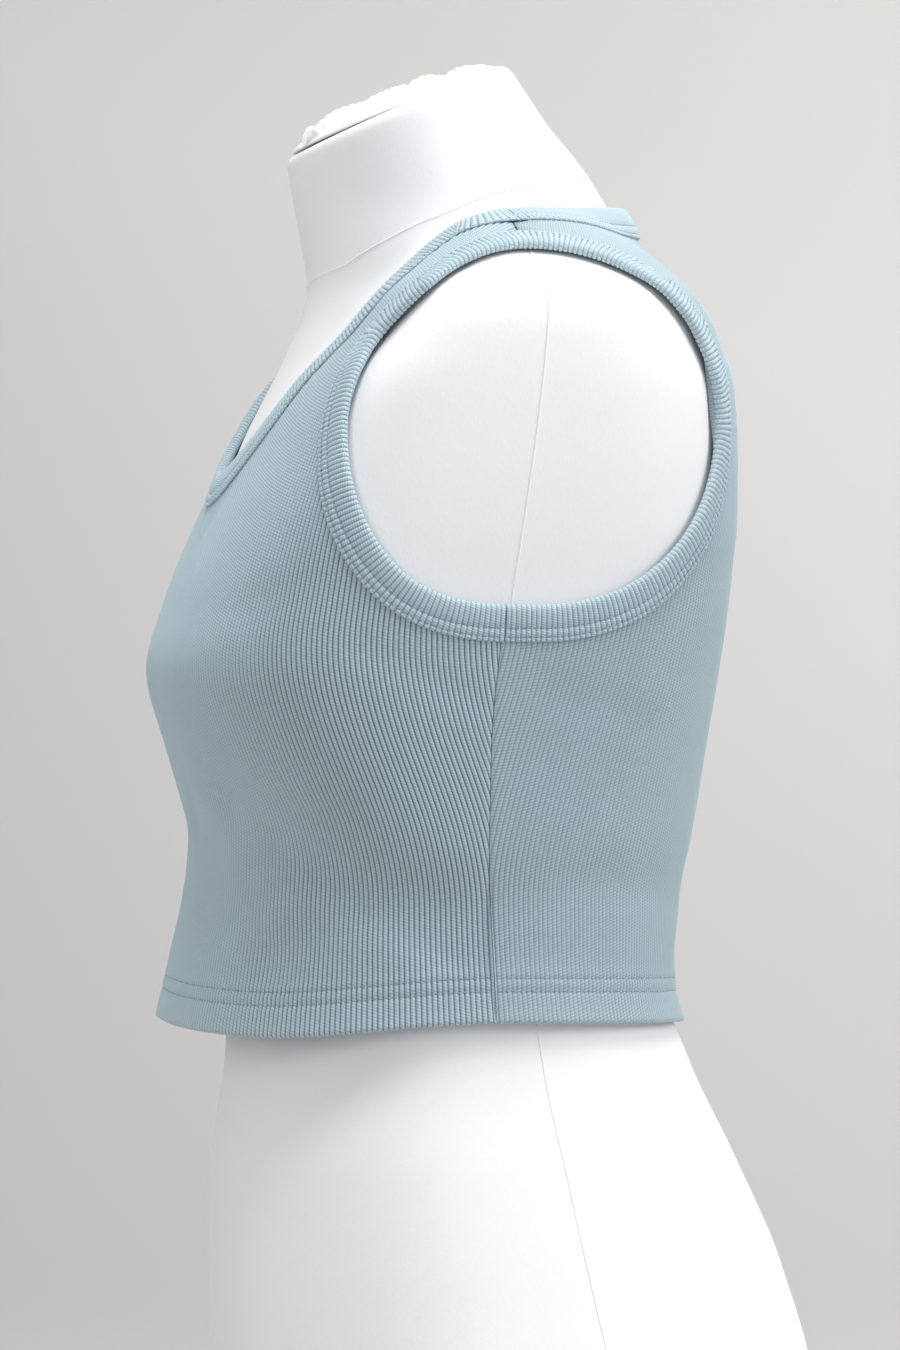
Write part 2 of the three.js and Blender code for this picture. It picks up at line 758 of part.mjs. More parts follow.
function mirrorGeometry(geometry) {
  const copy = geometry.clone();
  copy.scale(-1, 1, 1);
  const index = copy.index.array;
  for (let i = 0; i < index.length; i += 3) {
    [index[i], index[i + 1]] = [index[i + 1], index[i]];
  }
  return copy;
}

const clothMaterial = (name, color, roughness) => (
  new THREE.MeshStandardMaterial({ name, color, roughness, metalness: 0 })
);
const ribKnit = clothMaterial('rib_knit', 0x9fb2b6, 0.9);
const jersey = clothMaterial('jersey', 0xf4f4f5, 0.85);

const part = new THREE.Group();

function addPiece(name, geometry, material) {
  const mesh = new THREE.Mesh(mergeVertices(geometry), material.clone());
  mesh.name = name;
  part.add(mesh);
}

const armholeBinding = bindingGeometry(armholeStations());
addPiece('front_panel', panelGeometry(frontHalf, false), ribKnit);
addPiece('back_panel', panelGeometry(backHalf, true), ribKnit);
addPiece('neck_binding', bindingGeometry(neckStations()), ribKnit);
addPiece('armhole_binding_left', armholeBinding, ribKnit);
addPiece('armhole_binding_right', mirrorGeometry(armholeBinding), ribKnit);
addPiece('dress_form', formGeometry(), jersey);
addPiece('form_neck_gather', gatherGeometry(), jersey);

export default part;
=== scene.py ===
"""A ribbed knit crop top on a white limbless dress form.

The form and the cloth are polar sections round the form's upright axis. Angle 0 is the
centre front (towards -Y), angle 90 degrees the wearer's left side (towards +X). Sizes here
are millimetres, and meshes are turned into metres as they are made.
"""

import math

import bmesh
import bpy
import numpy as np
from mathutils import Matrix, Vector


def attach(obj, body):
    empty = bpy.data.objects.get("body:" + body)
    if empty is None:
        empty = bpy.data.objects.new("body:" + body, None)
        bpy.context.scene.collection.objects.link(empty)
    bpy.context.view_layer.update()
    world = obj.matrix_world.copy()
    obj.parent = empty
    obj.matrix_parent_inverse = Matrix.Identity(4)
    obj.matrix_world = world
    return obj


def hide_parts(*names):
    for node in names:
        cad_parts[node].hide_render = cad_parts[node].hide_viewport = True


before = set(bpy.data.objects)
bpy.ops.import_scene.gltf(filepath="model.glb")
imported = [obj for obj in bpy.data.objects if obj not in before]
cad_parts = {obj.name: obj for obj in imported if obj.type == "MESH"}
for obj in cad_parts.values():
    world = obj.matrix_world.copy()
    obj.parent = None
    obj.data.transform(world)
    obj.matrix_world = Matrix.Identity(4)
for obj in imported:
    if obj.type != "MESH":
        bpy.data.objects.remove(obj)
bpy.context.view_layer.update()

MM = 0.001
QUARTER = math.pi / 2

# Sections of the dress form. Reaches are measured forward and back from the body's axis,
# and the side line is how far the sections' widest line lies behind that axis.
FORM_COLUMNS = (
    "height", "half", "front", "back", "side",
    "front_power", "back_power", "neck_half", "neck_front", "neck_back",
)
FORM_SECTIONS = (
    (0, 168, 84, 132, 10, 2.3, 2.3, 20, 20, 20),
    (60, 175, 91, 152, 10, 2.3, 2.3, 20, 20, 20),
    (115, 172, 97, 148.5, 8, 2.3, 2.3, 20, 20, 20),
    (165, 160, 99.5, 136, 5, 2.3, 2.2, 20, 20, 20),
    (210, 146, 98, 116.5, 2, 2.3, 2.2, 20, 20, 20),
    (250, 131, 93, 97.5, -1, 2.3, 2.2, 20, 20, 20),
    (283, 125, 92, 87, -3, 2.3, 2.2, 20, 20, 20),
    (318, 127, 93, 89, -5, 2.3, 2.2, 20, 20, 20),
    (345, 133, 100, 94, -6, 2.4, 2.25, 20, 20, 20),
    (380, 141, 112.5, 99.5, -6, 2.8, 2.3, 20, 20, 20),
    (412, 147, 120.5, 104, -4, 3.0, 2.4, 20, 20, 20),
    (440, 152, 113, 107, -1, 3.0, 2.5, 40, 60, 60),
    (470, 160, 101, 109.5, 3, 2.9, 2.5, 55, 80, 80),
    (500, 166, 86, 109, 7, 2.8, 2.5, 66, 82, 90),
    (525, 168, 71, 107, 10, 2.8, 2.5, 70, 75, 90),
    (545, 166, 53, 101, 12, 2.8, 2.4, 72, 68, 86),
    (560, 156, 41, 93, 13, 2.8, 2.4, 72, 62, 81),
    (572, 131, 30, 83, 13, 2.7, 2.4, 70, 60, 76),
    (582, 108, 20, 72, 12, 2.6, 2.4, 68, 61, 76),
    (592, 82, 10, 54, 11, 2.5, 2.4, 65, 63, 74),
    (602, 54, 0, 38, 8, 2.4, 2.4, 62, 65, 68),
    (620, 20, 15, 10, -5, 2.3, 2.3, 58, 68, 57),
    (645, 20, 25, 0, -17, 2.3, 2.3, 55.5, 72, 37),
    (672, 20, 30, -10, -27, 2.3, 2.3, 54, 76, 23),
)

# How far the cloth stands off the form at the front, the sides and the back.
EASE_COLUMNS = ("height", "front", "side", "back")
CLOTH_EASE = (
    (255, 31, 8, 4.4),
    (283, 26.5, 7, 4.3),
    (318, 18, 7, 4.2),
    (345, 10, 6.2, 4.1),
    (380, 4.6, 4.3, 4),
    (412, 4, 4, 4),
    (612, 4, 4, 4),
)

# Edges of the cloth, as angle in degrees and height.
NECKLINE = (
    (0, 493), (9, 495.5), (18, 502.5), (27, 513), (36, 527), (46, 546), (55, 565),
    (65, 582), (76, 593), (90, 598), (110, 600), (140, 603), (180, 605),
)
HEM = ((0, 266), (45, 265), (90, 272), (140, 268), (180, 264))

# Armhole, as turn in degrees from straight up towards the front, and radius.
ARMHOLE = (
    (0, 72), (45, 69), (90, 76), (135, 81), (180, 72), (225, 74), (270, 75.5), (315, 74),
    (360, 72),
)
ARMHOLE_Y = 13
ARMHOLE_Z = 509

# The largest folds of the front, the same on both sides of the body:
# angle and height of both ends, depth and width.
FOLDS = (
    (38, 357, 80, 317, 3.6, 15),
    (50, 296, 64, 314, 2, 12),
    (12, 350, 26, 338, 1.6, 14),
)
FOLD_RADIUS = 125

FORM_TOP = 646
NECK_SLOPE = 0.41
NECK_AXIS = -22
PLATE_REACH = 155
PLATE_POWER = 14
NECK_BLEND = 12
BINDING_LIFT = 2.4


def smoothstep(value, low, high):
    """Rises smoothly from 0 at low to 1 at high."""
    share = np.clip((value - low) / (high - low), 0, 1)
    return share * share * (3 - 2 * share)


def bell(value, width):
    """A smooth bump of height 1 round value 0."""
    return np.exp(-((value / width) ** 2))


def curve_through(knots, values):
    """A smooth curve through the table's points that never overshoots them."""
    knots = np.asarray(knots, float)
    values = np.asarray(values, float)
    spans = np.diff(knots)
    rises = np.diff(values)
    steepness = rises / spans
    before, after = steepness[:-1], steepness[1:]
    same_way = before * after > 0
    slopes = np.zeros(len(knots))
    total = np.where(same_way, before + after, 1)
    slopes[1:-1] = np.where(same_way, 2 * before * after / total, 0)

    def at(place):
        place = np.clip(place, knots[0], knots[-1])
        i = np.clip(np.searchsorted(knots, place, side="right") - 1, 0, len(spans) - 1)
        t = (place - knots[i]) / spans[i]
        start_bend = slopes[i] * spans[i] - rises[i]
        end_bend = rises[i] - slopes[i + 1] * spans[i]
        bend = (1 - t) * start_bend + t * end_bend
        return values[i] + t * rises[i] + t * (1 - t) * bend

    return at


def table_curves(columns, rows):
    """One curve for each column after the first, which holds the heights."""
    table = np.array(rows, float)
    return {
        name: curve_through(table[:, 0], table[:, i])
        for i, name in enumerate(columns)
        if i
    }


form_at = table_curves(FORM_COLUMNS, FORM_SECTIONS)
ease_at = table_curves(EASE_COLUMNS, CLOTH_EASE)
neckline_curve = curve_through(*zip(*NECKLINE))
hem_curve = curve_through(*zip(*HEM))
armhole_curve = curve_through(*zip(*ARMHOLE))


def turn_from_front(angle):
    """Degrees from the centre front, 0 to 180, on either side of the body."""
    return np.degrees(np.arccos(np.clip(np.cos(angle), -1, 1)))


def super_radius(sine, cosine, half, depth, power):
    return (np.abs(sine / half) ** power + np.abs(cosine / depth) ** power) ** (-1 / power)


def crease_depth(creases, across, height):
    """How far the creases press in, across being the distance round from the front."""
    depth = np.zeros(np.broadcast(across, height).shape)
    for from_turn, from_z, to_turn, to_z, deep, width in creases:
        start = np.radians(from_turn) * FOLD_RADIUS
        run = np.radians(to_turn) * FOLD_RADIUS - start
        rise = to_z - from_z
        along = ((across - start) * run + (height - from_z) * rise) / (run**2 + rise**2)
        along = np.clip(along, 0, 1)
        aside = across - start - along * run
        above = height - from_z - along * rise
        depth = depth + deep * np.exp(-(aside**2 + above**2) / width**2)
    return depth


def surface(angle, height, is_cloth):
    """The point on the form, or on the cloth that hangs on it, as x, y, z."""
    height = np.asarray(height, float)
    sine, cosine = np.sin(angle), np.cos(angle)
    is_front = cosine > 0
    lift = BINDING_LIFT * smoothstep(height, 480, 570) if is_cloth else 0
    at = height - lift
    ease = {name: curve(height) * is_cloth for name, curve in ease_at.items()}
    side = form_at["side"](at)
    front_reach = np.maximum(form_at["front"](at) + side, 1) + ease["front"]
    back_reach = np.maximum(form_at["back"](at) - side, 1) + ease["back"]
    reach = np.where(is_front, front_reach, back_reach)
    power = np.where(is_front, form_at["front_power"](at), form_at["back_power"](at))
    trunk = super_radius(sine, cosine, form_at["half"](at) + ease["side"], reach, power)
    neck_front = form_at["neck_front"](at) + side + ease["front"]
    neck_back = form_at["neck_back"](at) - side + ease["back"]
    neck_reach = np.maximum(np.where(is_front, neck_front, neck_back), 1)
    neck = super_radius(
        sine, cosine, form_at["neck_half"](at) + ease["side"], neck_reach, 2
    )
    radius = (trunk**NECK_BLEND + neck**NECK_BLEND) ** (1 / NECK_BLEND)
    if is_cloth:
        across = np.radians(turn_from_front(angle)) * FOLD_RADIUS
        radius = radius - crease_depth(FOLDS, across, height)
    plate = PLATE_REACH + ease["side"] + 400 * (1 - smoothstep(height, 230, 300))
    wide = radius * sine
    x = wide * (1 + np.abs(wide / plate) ** PLATE_POWER) ** (-1 / PLATE_POWER)
    return np.stack(np.broadcast_arrays(x, side - radius * cosine, height), -1)


def slopes_at(angle, height, is_cloth):
    """Change of the surface point for a radian of angle and for a millimetre of height."""
    turn, step = 0.002, 0.25
    around = surface(angle + turn, height, is_cloth) - surface(angle - turn, height, is_cloth)
    up = surface(angle, height + step, is_cloth) - surface(angle, height - step, is_cloth)
    return around / (2 * turn), up / (2 * step)


def unit(vectors):
    return vectors / np.maximum(np.linalg.norm(vectors, axis=-1, keepdims=True), 1e-9)


def normal_at(angle, height, is_cloth):
    around, up = slopes_at(angle, height, is_cloth)
    return unit(np.cross(around, up))


def make_mesh(name, points, triangles, layers=None):
    """A smooth shaded mesh object from points in millimetres and rows of three corners."""
    mesh = bpy.data.meshes.new(name)
    mesh.vertices.add(len(points))
    mesh.vertices.foreach_set("co", (np.asarray(points) * MM).ravel())
    mesh.loops.add(3 * len(triangles))
    mesh.loops.foreach_set("vertex_index", np.asarray(triangles, np.int32).ravel())
    mesh.polygons.add(len(triangles))
    mesh.polygons.foreach_set("loop_start", np.arange(0, 3 * len(triangles), 3, dtype=np.int32))
    mesh.update(calc_edges=True)
    mesh.validate()
    mesh.shade_smooth()
    for layer, values in (layers or {}).items():
        attribute = mesh.attributes.new(layer, "FLOAT_VECTOR", "POINT")
        attribute.data.foreach_set("vector", np.asarray(values, np.float32).ravel())
    piece = bpy.data.objects.new(name, mesh)
    bpy.context.collection.objects.link(piece)
    return piece


# Ribbed panels

RIB_PITCH = 2.15
RIB_PROFILE = np.array((0, 0.86, 1, 0.86))
RIB_STEPS = len(RIB_PROFILE)
RIB_HEIGHT = {"front": 0.9, "back": 0.6}
CLOTH_WALL = 1.2
HEM_FOLD = 20
HEM_ROWS = (12.3, 17.7)
PANEL_HIDE = 3
TOP_OF_ROWS = 612
BOTTOM_OF_ROWS = 266
ROW_STEP = 4.3
SCALE_TOP = 500
SHOULDER_NARROWING = 0.2
SEAM_ROOM = 0.12

NEAR_HEM = (
    0, 0.35, 0.9, 2, 4.2, 7.2, 10.2, 11.5, 12.3, 13.1, 14.4, 15.8, 16.9, 17.7, 18.5,
    19.7, 21, 23.5,
)

# Softer creases of the scene, by side of the body: the photographed left side (+X),
# the hidden right side and the back. Columns as in the folds.
SOFT_CREASES = {
    ("front", 1): (
        (30, 372, 66, 352, 0.9, 7),
        (57, 331, 84, 296, 0.8, 6),
        (20, 316, 47, 301, 0.7, 8),
        (70, 420, 88, 399, 0.6, 6),
        (48, 436, 62, 446, 0.5, 7),
        (10, 470, 22, 484, 0.4, 6),
    ),
    ("front", -1): (
        (26, 365, 61, 345, 0.8, 8),
        (60, 325, 86, 301, 0.9, 7),
        (14, 309, 39, 297, 0.7, 7),
        (66, 413, 87, 405, 0.5, 6),
        (52, 441, 60, 452, 0.5, 6),
    ),
    ("back", 1): (
        (98, 402, 118, 391, 0.6, 7),
        (104, 330, 142, 318, 0.7, 9),
        (124, 452, 150, 459, 0.4, 8),
        (150, 296, 172, 300, 0.5, 9),
    ),
    ("back", -1): (
        (97, 396, 121, 386, 0.6, 8),
        (108, 337, 136, 322, 0.8, 8),
        (128, 446, 155, 455, 0.5, 9),
        (146, 301, 169, 296, 0.4, 8),
    ),
}


class RibMap:
    """Where the ribs of one panel run: the rib coordinate is the distance round from the
    panel's centre line, stretched so that ribs end at the side seam below the bust."""

    def __init__(self, is_front):
        self.is_front = is_front
        self.turns = np.linspace(0, QUARTER, 181)
        self.heights = np.arange(252.0, 626.0, 1.0)
        grid_turn, grid_z = np.meshgrid(self.turns, self.heights, indexing="ij")
        points = surface(self.angle(grid_turn, 1), grid_z, True)
        steps = np.linalg.norm(np.diff(points, axis=0), axis=-1)
        arc = np.vstack([np.zeros(len(self.heights)), np.cumsum(steps, axis=0)])
        full = arc[-1]
        high = 228.7 if is_front else 218
        self.count = round(high / RIB_PITCH)
        self.pitch = high / self.count
        low = (370 if is_front else 366) * self.pitch / RIB_STEPS + SEAM_ROOM
        width = low + (high + SEAM_ROOM - low) * smoothstep(self.heights, 318, 432)
        scale = width / full
        top_scale = np.interp(SCALE_TOP, self.heights, scale)
        scale = np.where(self.heights > SCALE_TOP, top_scale, scale)
        scale = scale * (1 - SHOULDER_NARROWING * smoothstep(self.heights, 520, 585))
        self.ribs = arc * scale
        self.side = self.ribs[-1] - SEAM_ROOM

    def angle(self, turn, hand):
        return hand * (turn if self.is_front else math.pi - turn)

    def turn_table(self, ribs):
        """Turn from the panel's centre line, for each rib and each height of the grid."""
        rows = [np.interp(ribs, self.ribs[:, i], self.turns) for i in range(len(self.heights))]
        return np.array(rows).T


def armhole_clearance(angle, height):
    """Distance over the cloth from the armhole's edge, which is given as seen from the side."""
    points = surface(angle, height, True)
    forward = ARMHOLE_Y - points[..., 1]
    up = points[..., 2] - ARMHOLE_Z
    turn = np.degrees(np.arctan2(forward, up)) % 360
    distance = np.hypot(forward, up)
    normals = normal_at(angle, height, True)
    head_on = (normals[..., 2] * up - normals[..., 1] * forward) / np.maximum(distance, 1)
    slant = np.sqrt(np.maximum(1 - head_on**2, 0.04))
    return (distance - armhole_curve(turn)) / slant


def column_ends(ribs_map, ribs, turns):
    """Lowest and highest point of each column of the panel."""
    heights = ribs_map.heights
    fine = np.arange(heights[0], TOP_OF_ROWS, 0.5)
    ends = []
    for rib, row in zip(ribs, turns):
        turn = np.interp(fine, heights, row)
        angle = ribs_map.angle(turn, 1)
        degrees = turn_from_front(angle)
        room_side = np.interp(fine, heights, ribs_map.side) - rib + 0.01
        low_room = np.minimum(fine - hem_curve(degrees), room_side)
        neck_room = neckline_curve(degrees) - PANEL_HIDE - fine
        hole_room = armhole_clearance(angle, fine) - PANEL_HIDE
        high_room = np.minimum(np.minimum(neck_room, hole_room), room_side)
        first = int(np.argmax((low_room > 0) & (fine < 440)))
        bottom = crossing(fine, low_room, first)
        above = np.nonzero(high_room[first + 1 :] <= 0)[0]
        last = first + 1 + int(above[0])
        ends.append((bottom, crossing(fine, high_room, last)))
    return np.array(ends)


def crossing(places, values, i):
    """Where the values cross zero between place i - 1 and place i."""
    if i == 0 or values[i] * values[i - 1] > 0:
        return places[i]
    share = values[i - 1] / (values[i - 1] - values[i])
    return places[i - 1] + share * (places[i] - places[i - 1])


def grid_triangles(index):
    """Two triangles for each cell of a grid of point numbers, without collapsed ones."""
    a, b = index[:-1, :-1].ravel(), index[1:, :-1].ravel()
    c, d = index[1:, 1:].ravel(), index[:-1, 1:].ravel()
    triangles = np.concatenate([np.stack([a, b, c], 1), np.stack([a, c, d], 1)])
    a, b, c = triangles.T
    return triangles[(a != b) & (b != c) & (a != c)]


def clipped_index(rows, bottom, top, start):
    """Point numbers for a grid whose columns are cut off at their ends: rows beyond an end
    share the end's point."""
    count = rows.shape[1]
    numbers = np.tile(np.arange(count), (len(rows), 1))
    first = np.maximum((rows <= bottom[:, None]).sum(1) - 1, 0)
    last = np.minimum((rows < top[:, None]).sum(1), count - 1)
    numbers = np.clip(numbers, first[:, None], last[:, None])
    return start + np.arange(len(rows))[:, None] * count + numbers, first, last


def panel(name, is_front):
    """A closed ribbed panel: ribs outside, plain inside, a folded hem, sunk seam edges."""
    ribs_map = RibMap(is_front)
    reach = ribs_map.count * RIB_STEPS
    pitch = ribs_map.pitch
    half_ribs = np.arange(reach + 1) * pitch / RIB_STEPS
    half_turns = ribs_map.turn_table(half_ribs)
    half_ends = column_ends(ribs_map, half_ribs, half_turns)
    steps = np.arange(-reach, reach + 1)
    hand = np.where(steps < 0, -1, 1)
    ribs = half_ribs[np.abs(steps)]
    turns = half_turns[np.abs(steps)]
    bottom, top = half_ends[np.abs(steps)].T

    far = np.arange(NEAR_HEM[-1] + ROW_STEP, TOP_OF_ROWS - BOTTOM_OF_ROWS + ROW_STEP, ROW_STEP)
    offsets = np.concatenate([NEAR_HEM, far])
    turn_low = np.array([np.interp(b, ribs_map.heights, t) for b, t in zip(bottom, turns)])
    hem = hem_curve(turn_from_front(ribs_map.angle(turn_low, 1)))
    stretch = (TOP_OF_ROWS - hem) / (TOP_OF_ROWS - BOTTOM_OF_ROWS)
    rows = hem[:, None] + offsets[None, :] * stretch[:, None]
    index, first, last = clipped_index(rows, bottom, top, 0)
    heights = np.clip(rows, bottom[:, None], top[:, None])
    turn = np.array([np.interp(h, ribs_map.heights, t) for h, t in zip(heights, turns)])
    angle = ribs_map.angle(turn, hand[:, None])
    base = surface(angle, heights, True)
    normals = normal_at(angle, heights, True)

    from_hem = heights - hem[:, None]
    from_side = np.abs(np.interp(heights, ribs_map.heights, ribs_map.side) - ribs[:, None])
    in_hem = 1 - smoothstep(from_hem, HEM_FOLD - 1.5, HEM_FOLD + 1.5)
    sunk = bell(from_side, 0.9)
    rib = RIB_PROFILE[np.abs(steps) % RIB_STEPS][:, None]
    side_name = "front" if is_front else "back"
    relief = RIB_HEIGHT[side_name] * (1 - 0.15 * in_hem) * (1 - 0.5 * sunk)
    out = relief * (rib - 0.8) + 0.45 * in_hem - 0.7 * sunk
    for row in HEM_ROWS:
        out = out - 0.5 * bell(from_hem - row, 0.85)
    across = np.radians(turn_from_front(angle)) * FOLD_RADIUS
    for side in (-1, 1):
        creases = SOFT_CREASES[side_name, side]
        dent = crease_depth(creases, across, heights)
        out = out - np.where(hand[:, None] == side, dent, 0)
    edge = np.sqrt(np.clip(1 - (1 - np.clip(from_hem / 1.3, 0, 1)) ** 2, 0, 1))
    middle = -1.1
    out = middle + (out - middle) * (0.25 + 0.75 * edge)
    inside = -CLOTH_WALL - CLOTH_WALL * in_hem - 0.3
    inside = middle + (inside - middle) * (0.25 + 0.75 * edge)
    outer = base + normals * out[..., None]
    inner = (base + normals * inside[..., None])[::RIB_STEPS]

    lengths = np.linalg.norm(np.diff(base, axis=1), axis=-1)
    along = np.hstack([np.zeros((len(ribs), 1)), np.cumsum(lengths, axis=1)]) + bottom[:, None]
    signed = (hand * ribs / pitch)[:, None] + np.zeros_like(heights)
    knit = np.stack([signed, along, in_hem], -1)

    count = outer.shape[0] * outer.shape[1]
    inner_index, _, _ = clipped_index(
        rows[::RIB_STEPS], bottom[::RIB_STEPS], top[::RIB_STEPS], count
    )
    triangles = [grid_triangles(index), grid_triangles(inner_index)[:, ::-1]]
    columns = np.arange(len(index))
    coarse = np.arange(len(inner_index))
    triangles.append(
        joining(index[columns, 0], inner_index[coarse, 0])[:, ::-1]
    )
    triangles.append(joining(index[columns, -1], inner_index[coarse, -1]))
    for column, flip in ((0, 1), (-1, -1)):
        wall = np.stack([index[column], inner_index[column]])
        triangles.append(grid_triangles(wall)[:, ::flip])
    triangles = np.concatenate(triangles)
    if not is_front:
        triangles = triangles[:, ::-1]
    points = np.concatenate([outer.reshape(-1, 3), inner.reshape(-1, 3)])
    layer = np.concatenate([knit.reshape(-1, 3), knit[::RIB_STEPS].reshape(-1, 3)])
    used = np.unique(triangles)
    renumber = np.zeros(len(points), int)
    renumber[used] = np.arange(len(used))
    piece = make_mesh(name, points[used], renumber[triangles], {"knit": layer[used]})
    return piece, ribs_map


def joining(fine, coarse):
    """Triangles from a fine edge to a coarse edge, whose points are RIB_STEPS apart."""
    result = []
    half = RIB_STEPS // 2
    for i in range(len(coarse) - 1):
        at = i * RIB_STEPS
        for k in range(RIB_STEPS):
            tip = coarse[i] if k < half else coarse[i + 1]
            result.append((fine[at + k], fine[at + k + 1], tip))
        result.append((coarse[i], fine[at + half], coarse[i + 1]))
    result = np.array(result)
    a, b, c = result.T
    return result[(a != b) & (b != c) & (a != c)]


# Bindings round the neck and the armholes

BINDING_WIDTH = 14.6
BINDING_RIB = 2.0
BINDING_STITCHES = (12.6, 9.1)
JOINT_GAP = 0.25
JOINT_STRIP = 4
WALK_STEP = 0.5

# Section of a binding: distance over the cloth from the fold edge, height above the cloth,
# and how much of the rib's height shows there.
BINDING_SECTION = (
    (14.5, 0.05, 0.2), (14.6, 0.6, 0.6), (14.2, 1.05, 1), (13.4, 1.15, 1), (12.6, 0.8, 0.6),
    (11.8, 1.2, 1), (10.9, 1.35, 1), (9.9, 1.2, 1), (9.1, 0.85, 0.6), (8.3, 1.3, 1),
    (6.4, 1.55, 1), (4, 1.6, 1), (2, 1.5, 1), (0.8, 1.1, 1), (0.1, 0.3, 1), (-0.1, -0.6, 1),
    (0.2, -1.5, 1), (1.2, -2.2, 0.8), (3, -2.6, 0.5), (8, -2.7, 0.3), (14.2, -2.7, 0.3),
    (14.3, -1.9, 0), (2, -1.5, 0), (1.1, -0.6, 0), (2, 0.1, 0),
)


class EdgePath:
    """Evenly spaced stations along an edge of the cloth, and the way from each over the
    cloth, away from the opening."""

    def __init__(self, angle, height, spacing, away_from):
        points = surface(angle, height, True)
        run = np.linalg.norm(np.diff(points, axis=0), axis=-1)
        self.places = np.concatenate([[0], np.cumsum(run)])
        self.length = self.places[-1]
        self.ribs = round(self.length / spacing)
        stations = np.linspace(0, self.length, self.ribs * RIB_STEPS + 1)
        self.stations = stations
        self.angle = np.interp(stations, self.places, angle)
        self.height = np.interp(stations, self.places, height)
        self.walk(away_from)

    def walk(self, away_from):
        """Steps over the cloth from each station, square to the edge."""
        angle, height = self.angle, self.height
        point = surface(angle, height, True)
        tangent = unit(np.gradient(point, axis=0))
        heading = unit(np.cross(tangent, normal_at(angle, height, True)))
        outward = np.sum(heading * (point - away_from(point)), axis=-1, keepdims=True)
        heading = heading * np.sign(outward)
        self.tangent = tangent
        self.heading = heading
        points, normals = [point], [normal_at(angle, height, True)]
        for _ in range(round(BINDING_WIDTH / WALK_STEP) + 2):
            around, up = slopes_at(angle, height, True)
            aa, uu, au = dot(around, around), dot(up, up), dot(around, up)
            ah, uh = dot(around, heading), dot(up, heading)
            by = aa * uu - au * au
            turn, climb = (ah * uu - uh * au) / by, (uh * aa - ah * au) / by
            move = unit(around * turn[:, None] + up * climb[:, None])
            length = np.linalg.norm(around * turn[:, None] + up * climb[:, None], axis=-1)
            angle = angle + WALK_STEP * turn / length
            height = height + WALK_STEP * climb / length
            heading = move
            points.append(surface(angle, height, True))
            normals.append(normal_at(angle, height, True))
        self.points = np.array(points)
        self.normals = np.array(normals)

    def at(self, distance, lift, chosen=slice(None)):
        """Points at a distance from the edge over the cloth, lifted off it."""
        place = max(distance, 0) / WALK_STEP
        low = min(int(place), len(self.points) - 2)
        share = place - low
        pair = self.points[low : low + 2, chosen]
        turned = self.normals[low : low + 2, chosen]
        point = pair[0] * (1 - share) + pair[1] * share
        normal = unit(turned[0] * (1 - share) + turned[1] * share)
        beyond = self.heading[chosen] * min(distance, 0)
        return point + beyond + normal * np.reshape(lift, (-1, 1))

    def normal(self, distance):
        return self.normals[min(round(distance / WALK_STEP), len(self.normals) - 1)]


def dot(first, second):
    return np.sum(first * second, axis=-1)


def unevenness(places, seed, size):
    """A slow random wobble along an edge."""
    rng = np.random.default_rng(seed)
    wobble = np.zeros(len(places))
    for wave in (97, 41, 19, 11):
        wobble += math.sqrt(wave / 97) * np.sin(
            2 * math.pi * (places / wave + rng.random())
        )
    return size * wobble / 2


def binding(name, path, seed):
    """A closed ribbed strip folded over the edge, its ends meeting at a joint."""
    stations = path.stations
    count = len(stations)
    from_joint = np.minimum(stations, path.length - stations)
    sunk = bell(from_joint, 0.8) + bell(stations - JOINT_STRIP, 0.6)
    rib = RIB_PROFILE[np.arange(count) % RIB_STEPS] - 0.6
    swell = unevenness(stations, seed, 0.12)
    sections, layer = [], []
    girth = 0.0
    before = None
    for distance, lift, shown in BINDING_SECTION:
        side = 1 if lift > -0.3 else -1
        height = lift + side * shown * (0.6 * rib * (1 - sunk) + swell - 0.5 * sunk)
        sections.append(path.at(distance, height))
        if before is not None:
            girth += math.dist(before, (distance, lift))
        before = (distance, lift)
        layer.append(
            np.stack(
                [stations / path.length * path.ribs, np.full(count, girth), np.ones(count)],
                -1,
            )
        )
    sections = np.array(sections)
    sections[:, 0] += path.tangent[0] * JOINT_GAP
    sections[:, -1] -= path.tangent[-1] * JOINT_GAP
    rings = len(BINDING_SECTION)
    index = np.arange(rings * count).reshape(rings, count)
    index = np.vstack([index, index[:1]])
    triangles = grid_triangles(index)
    caps = [end_cap(index[:-1, 0], True), end_cap(index[:-1, -1], False)]
    triangles = np.concatenate([triangles, *caps])
    piece = make_mesh(
        name, sections.reshape(-1, 3), triangles, {"knit": np.array(layer).reshape(-1, 3)}
    )
    face_outwards(piece)
    return piece


def end_cap(loop, flip):
    """Closes the end of a folded strip across its wall, from outside to inside points."""
    low, high = 0, len(loop) - 1
    triangles = []
    while high - low > 1:
        if (low + high) % 2:
            triangles.append((loop[low], loop[low + 1], loop[high]))
            low += 1
        else:
            triangles.append((loop[low], loop[high - 1], loop[high]))
            high -= 1
    triangles = np.array(triangles)
    return triangles[:, ::-1] if flip else triangles


def face_outwards(piece):
    """Turns the faces of a closed mesh so that they point out."""
    shape = bmesh.new()
    shape.from_mesh(piece.data)
    bmesh.ops.recalc_face_normals(shape, faces=shape.faces)
    shape.to_mesh(piece.data)
    shape.free()


def neck_path():
    angle = np.linspace(QUARTER, QUARTER + 2 * math.pi, 1400)
    height = neckline_curve(turn_from_front(angle))

    def above(points):
        return points * np.array((0.0, 0.0, 1.0)) + np.array((0.0, -40.0, 60.0))

    return EdgePath(angle, height, BINDING_RIB, above)


